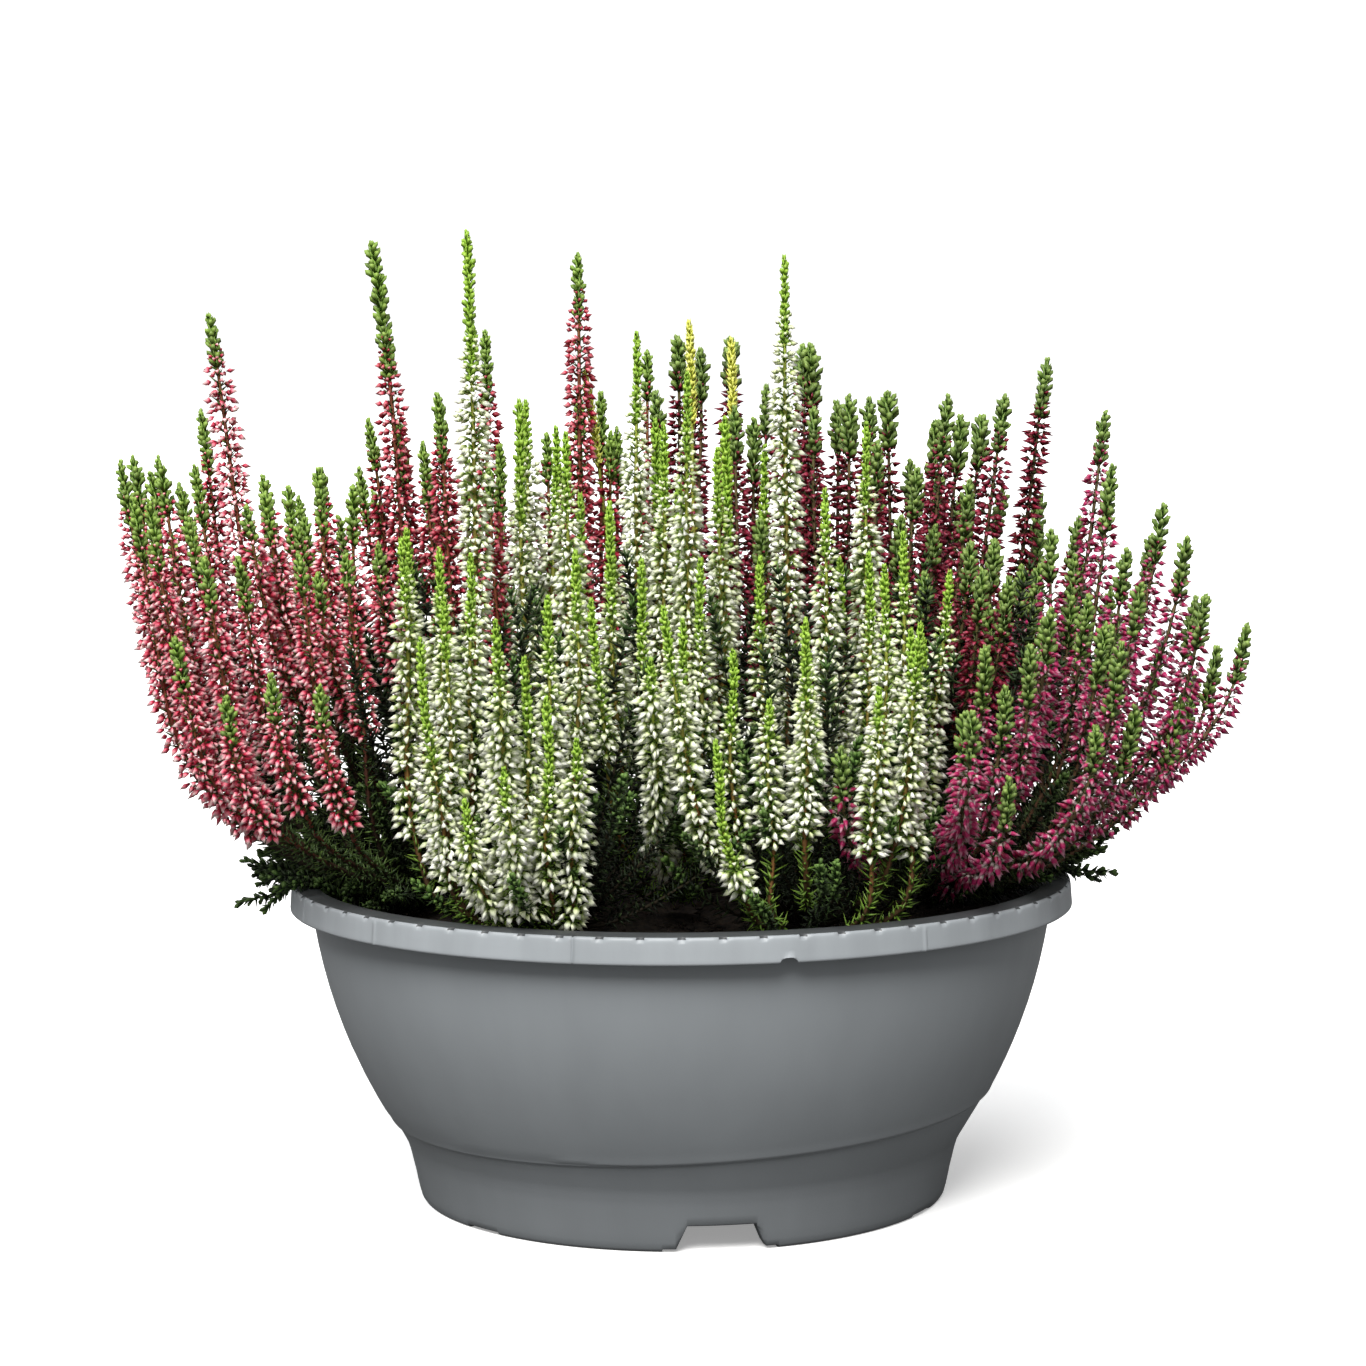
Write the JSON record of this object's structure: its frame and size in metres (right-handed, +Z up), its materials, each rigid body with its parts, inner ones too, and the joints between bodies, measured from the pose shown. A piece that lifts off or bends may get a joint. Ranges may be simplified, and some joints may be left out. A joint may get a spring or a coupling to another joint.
{
  "type": "potted heather",
  "caption": "Round grey planter bowl of mixed bud-flowering heathers with upright pink, white, purple and crimson spikes over low leafy crowns.",
  "frame": {"origin": "centre of the footprint of the whole plant, on the surface it stands on; the bowl's axis passes through it", "axes": "+Z up along the bowl's axis; -Y is the front, which the picture shows; +X is the picture's right"},
  "size_m": [0.3885, 0.2816, 0.33],
  "materials": {
    "grey_plastic": "satin medium grey",
    "potting_soil": "dark moist peat mix, matt",
    "red_left_leaves": "matt needle leaves on twigs",
    "red_left_flowers": "soft matt buds",
    "red_back_leaves": "matt needle leaves on twigs",
    "red_back_flowers": "soft matt buds",
    "white_front_leaves": "matt needle leaves on twigs",
    "white_front_flowers": "soft matt buds",
    "white_middle_leaves": "matt needle leaves on twigs",
    "white_middle_flowers": "soft matt buds",
    "white_right_leaves": "matt needle leaves on twigs",
    "white_right_flowers": "soft matt buds",
    "purple_right_leaves": "matt needle leaves on twigs",
    "purple_right_flowers": "soft matt buds",
    "crimson_back_leaves": "matt needle leaves on twigs",
    "crimson_back_flowers": "soft matt buds"
  },
  "bodies": {
    "root": {"crimson_back_crown": "crimson_back_leaves", "crimson_back_shoot_1": "crimson_back_flowers", "crimson_back_shoot_2": "crimson_back_flowers", "crimson_back_shoot_3": "crimson_back_flowers", "crimson_back_shoot_4": "crimson_back_flowers", "crimson_back_shoot_5": "crimson_back_flowers", "crimson_back_shoot_6": "crimson_back_flowers", "crimson_back_shoot_7": "crimson_back_flowers", "crimson_back_shoot_8": "crimson_back_flowers", "planter_bowl": "grey_plastic", "potting_soil": "potting_soil", "purple_right_crown": "purple_right_leaves", "purple_right_shoot_1": "purple_right_flowers", "purple_right_shoot_2": "purple_right_flowers", "purple_right_shoot_3": "purple_right_flowers", "purple_right_shoot_4": "purple_right_flowers", "purple_right_shoot_5": "purple_right_flowers", "purple_right_shoot_6": "purple_right_flowers", "purple_right_shoot_7": "purple_right_flowers", "purple_right_shoot_8": "purple_right_flowers", "red_back_crown": "red_back_leaves", "red_back_shoot_1": "red_back_flowers", "red_back_shoot_2": "red_back_flowers", "red_back_shoot_3": "red_back_flowers", "red_back_shoot_4": "red_back_flowers", "red_back_shoot_5": "red_back_flowers", "red_back_shoot_6": "red_back_flowers", "red_back_shoot_7": "red_back_flowers", "red_left_crown": "red_left_leaves", "red_left_shoot_1": "red_left_flowers", "red_left_shoot_2": "red_left_flowers", "red_left_shoot_3": "red_left_flowers", "red_left_shoot_4": "red_left_flowers", "red_left_shoot_5": "red_left_flowers", "red_left_shoot_6": "red_left_flowers", "red_left_shoot_7": "red_left_flowers", "red_left_shoot_8": "red_left_flowers", "white_front_crown": "white_front_leaves", "white_front_shoot_1": "white_front_flowers", "white_front_shoot_2": "white_front_flowers", "white_front_shoot_3": "white_front_flowers", "white_front_shoot_4": "white_front_flowers", "white_front_shoot_5": "white_front_flowers", "white_front_shoot_6": "white_front_flowers", "white_front_shoot_7": "white_front_flowers", "white_middle_crown": "white_middle_leaves", "white_middle_shoot_1": "white_middle_flowers", "white_middle_shoot_2": "white_middle_flowers", "white_middle_shoot_3": "white_middle_flowers", "white_middle_shoot_4": "white_middle_flowers", "white_right_crown": "white_right_leaves", "white_right_shoot_1": "white_right_flowers", "white_right_shoot_2": "white_right_flowers", "white_right_shoot_3": "white_right_flowers", "white_right_shoot_4": "white_right_flowers", "white_right_shoot_5": "white_right_flowers", "white_right_shoot_6": "white_right_flowers", "white_right_shoot_7": "white_right_flowers", "white_right_shoot_8": "white_right_flowers"}
  },
  "joints": []
}
